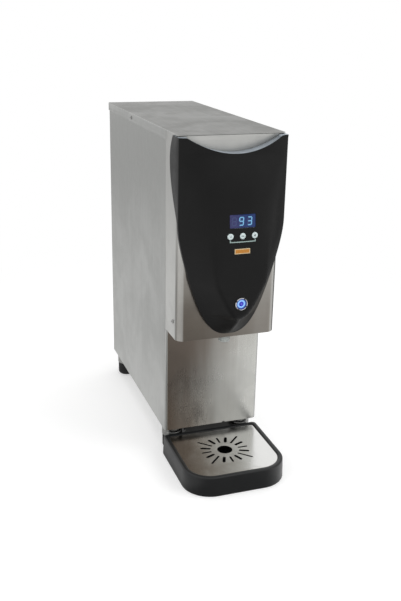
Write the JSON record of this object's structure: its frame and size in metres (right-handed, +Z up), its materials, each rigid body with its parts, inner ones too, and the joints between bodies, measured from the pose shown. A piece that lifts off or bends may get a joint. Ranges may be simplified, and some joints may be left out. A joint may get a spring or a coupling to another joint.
{
  "type": "instant hot water dispenser",
  "caption": "Narrow counter hot water dispenser: stainless cabinet, bulged black front shield with display and push button, lift-out drip tray.",
  "frame": {"origin": "on the counter, under the middle of the whole", "axes": "+X to the dispenser's right as the user faces it, +Y to the rear, +Z up"},
  "size_m": [0.1862, 0.5798, 0.594],
  "materials": {
    "stainless": "brushed",
    "plain_steel": "satin",
    "chrome": "polished",
    "shield_black": "satin",
    "tray_black": "satin",
    "rubber_black": "matt",
    "display_blue": "gloss",
    "key_white": "satin",
    "halo_blue": "gloss",
    "button_blue": "gloss",
    "dark_plastic": "matt",
    "rocker_black": "gloss",
    "nozzle_clear": "translucent",
    "board_green": "matt",
    "brass": "machined",
    "jacket_foam": "matt",
    "seal_red": "matt"
  },
  "bodies": {
    "cabinet": {"body_wrapper": "stainless", "base_pan": "plain_steel", "lid": "stainless", "hood": "stainless", "hood_floor": "plain_steel", "splash_panel": "stainless", "lid_screw_left": "plain_steel", "lid_screw_right": "plain_steel", "hood_screw_left": "plain_steel", "hood_screw_right": "plain_steel", "front_shield": "shield_black", "display_window": "display_blue", "display_board": "board_green", "button_bezel": "chrome", "button_halo": "halo_blue", "button_switch_body": "dark_plastic", "button_nut": "chrome", "nozzle": "nozzle_clear", "nozzle_nut": "dark_plastic", "dispense_valve_body": "brass", "dispense_coil": "dark_plastic", "nozzle_tube": "rubber_black", "outlet_tube": "rubber_black", "tank_shell": "stainless", "tank_gasket": "seal_red", "tank_lid": "stainless", "insulation_jacket": "jacket_foam", "tank_stand": "plain_steel", "heating_element": "stainless", "temperature_probe": "stainless", "level_probe": "stainless", "limit_thermostat": "dark_plastic", "vent_tube": "rubber_black", "inlet_fitting": "brass", "inlet_valve_body": "brass", "inlet_coil": "dark_plastic", "inlet_tube": "rubber_black", "control_board": "board_green", "board_bracket": "plain_steel", "cord_gland": "dark_plastic", "switch_housing": "dark_plastic", "leg_collar_front_left": "stainless", "leg_collar_rear_left": "stainless", "leg_collar_front_right": "stainless", "leg_collar_rear_right": "stainless"},
    "dispense_button": {"button_cap": "button_blue"},
    "key_minus": {"key_minus": "key_white"},
    "key_set": {"key_set": "key_white"},
    "key_plus": {"key_plus": "key_white"},
    "drip_tray": {"drip_tray": "tray_black"},
    "drip_grate": {"drip_grate": "stainless"},
    "power_rocker": {"power_rocker": "rocker_black"},
    "foot_front_left": {"foot_pad_front_left": "rubber_black", "foot_stud_front_left": "stainless"},
    "foot_rear_left": {"foot_pad_rear_left": "rubber_black", "foot_stud_rear_left": "stainless"},
    "foot_front_right": {"foot_pad_front_right": "rubber_black", "foot_stud_front_right": "stainless"},
    "foot_rear_right": {"foot_pad_rear_right": "rubber_black", "foot_stud_rear_right": "stainless"}
  },
  "joints": [
    {"name": "dispense_button_slide", "type": "slide", "parent": "cabinet", "child": "dispense_button", "axis": [0, 1, 0], "range_m": [0, 0.002], "stiffness_N_per_m": 900},
    {"name": "key_minus_slide", "type": "slide", "parent": "cabinet", "child": "key_minus", "axis": [0, 1, 0], "range_m": [0, 0.0005], "stiffness_N_per_m": 1500},
    {"name": "key_set_slide", "type": "slide", "parent": "cabinet", "child": "key_set", "axis": [0, 1, 0], "range_m": [0, 0.0005], "stiffness_N_per_m": 1500},
    {"name": "key_plus_slide", "type": "slide", "parent": "cabinet", "child": "key_plus", "axis": [0, 1, 0], "range_m": [0, 0.0005], "stiffness_N_per_m": 1500},
    {"name": "tray_slide", "type": "slide", "parent": "cabinet", "child": "drip_tray", "axis": [0, -1, 0], "range_m": [0, 0.17]},
    {"name": "grate_lift", "type": "slide", "parent": "drip_tray", "child": "drip_grate", "axis": [0, 0, 1], "range_m": [0, 0.05]},
    {"name": "rocker_tip", "type": "hinge", "parent": "cabinet", "child": "power_rocker", "pos_m": [0.052, 0.2734, 0.128], "axis": [1, 0, 0], "range_deg": [0, 24]},
    {"name": "foot_front_left_turn", "type": "hinge", "parent": "cabinet", "child": "foot_front_left", "pos_m": [-0.067, -0.1009, 0.02], "axis": [0, 0, 1], "continuous": true},
    {"name": "foot_rear_left_turn", "type": "hinge", "parent": "cabinet", "child": "foot_rear_left", "pos_m": [-0.067, 0.2431, 0.02], "axis": [0, 0, 1], "continuous": true},
    {"name": "foot_front_right_turn", "type": "hinge", "parent": "cabinet", "child": "foot_front_right", "pos_m": [0.067, -0.1009, 0.02], "axis": [0, 0, 1], "continuous": true},
    {"name": "foot_rear_right_turn", "type": "hinge", "parent": "cabinet", "child": "foot_rear_right", "pos_m": [0.067, 0.2431, 0.02], "axis": [0, 0, 1], "continuous": true}
  ]
}
